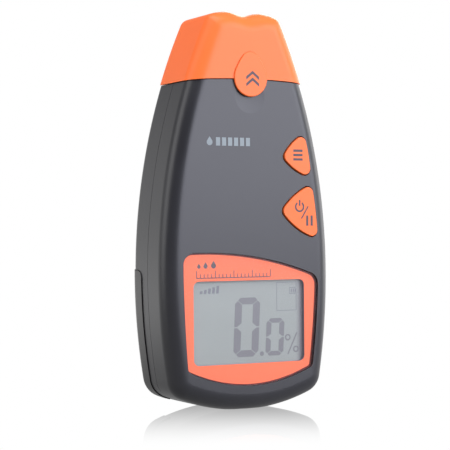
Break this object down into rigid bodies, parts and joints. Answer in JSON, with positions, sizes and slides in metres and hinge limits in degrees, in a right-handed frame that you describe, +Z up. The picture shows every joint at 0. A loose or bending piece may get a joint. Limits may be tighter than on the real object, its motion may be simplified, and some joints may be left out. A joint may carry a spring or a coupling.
{
  "type": "pin moisture meter",
  "caption": "Hand-held pin-type moisture meter with a slide-off cap over its electrodes, a display window, two buttons and a rear battery door.",
  "frame": {"origin": "middle of the small flat foot on which the case stands upright", "axes": "+Z up from the foot to the cap, front with the display faces -Y, +X to the right as seen from the front"},
  "size_m": [0.0626, 0.0273, 0.1302],
  "materials": {
    "charcoal_plastic": "satin, fine moulded texture",
    "door_plastic": "satin, fine moulded texture",
    "orange_plastic": "satin",
    "clear_lens": "polished clear plastic",
    "lens_ink": "printed film",
    "lcd": "display glass with grey-green polariser",
    "white_plastic": "moulded",
    "zebra_rubber": "soft",
    "board_laminate": "green solder resist",
    "black_plastic": "moulded",
    "chip_plastic": "moulded epoxy",
    "capacitor_sleeve": "shrink sleeve",
    "trimmer_plastic": "moulded",
    "pin_steel": "turned and polished",
    "plated_metal": "nickel plate",
    "tinned_brass": "tinned",
    "tinned_wire": "bright",
    "battery_jacket": "lacquered sheet metal, dark body and copper-coloured end",
    "red_insulation": "soft vinyl",
    "black_insulation": "soft vinyl"
  },
  "bodies": {
    "housing": {"front_shell": "charcoal_plastic", "rear_shell": "charcoal_plastic", "display_lens": "clear_lens", "lens_print": "lens_ink", "lcd_glass": "lcd", "lcd_reflector": "tinned_wire", "lcd_frame": "white_plastic", "zebra_strips": "zebra_rubber", "circuit_board": "board_laminate", "microcontroller": "chip_plastic", "small_chips": "chip_plastic", "resistors": "chip_plastic", "filter_capacitors": "capacitor_sleeve", "crystal_can": "plated_metal", "trimmer": "trimmer_plastic", "switch_bases": "black_plastic", "case_screws": "pin_steel", "board_screws": "pin_steel", "electrode_block": "black_plastic", "left_pin": "pin_steel", "right_pin": "pin_steel", "pin_collars": "plated_metal", "solder_tags": "tinned_brass", "pin_nuts": "plated_metal", "left_electrode_lead": "tinned_wire", "right_electrode_lead": "tinned_wire", "battery": "battery_jacket", "battery_terminals": "plated_metal", "battery_snap": "black_plastic", "red_battery_lead": "red_insulation", "black_battery_lead": "black_insulation"},
    "cap": {"cap_shell": "orange_plastic", "thumb_tab": "orange_plastic"},
    "mode_key": {"mode_button": "orange_plastic", "mode_plunger": "black_plastic"},
    "power_key": {"power_button": "orange_plastic", "power_plunger": "black_plastic"},
    "door": {"battery_door": "door_plastic"}
  },
  "joints": [
    {"name": "cap_slide", "type": "slide", "parent": "housing", "child": "cap", "axis": [0, 0, 1], "range_m": [0, 0.04]},
    {"name": "mode_press", "type": "slide", "parent": "housing", "child": "mode_key", "axis": [0, 1, 0], "range_m": [0, 0.0004], "stiffness_N_per_m": 1500, "springref_m": -0.0003},
    {"name": "power_press", "type": "slide", "parent": "housing", "child": "power_key", "axis": [0, 1, 0], "range_m": [0, 0.0004], "stiffness_N_per_m": 1500, "springref_m": -0.0003},
    {"name": "door_swing", "type": "hinge", "parent": "housing", "child": "door", "pos_m": [0, 0.0132, 0.0044], "axis": [-1, 0, 0], "range_deg": [0, 80]}
  ]
}
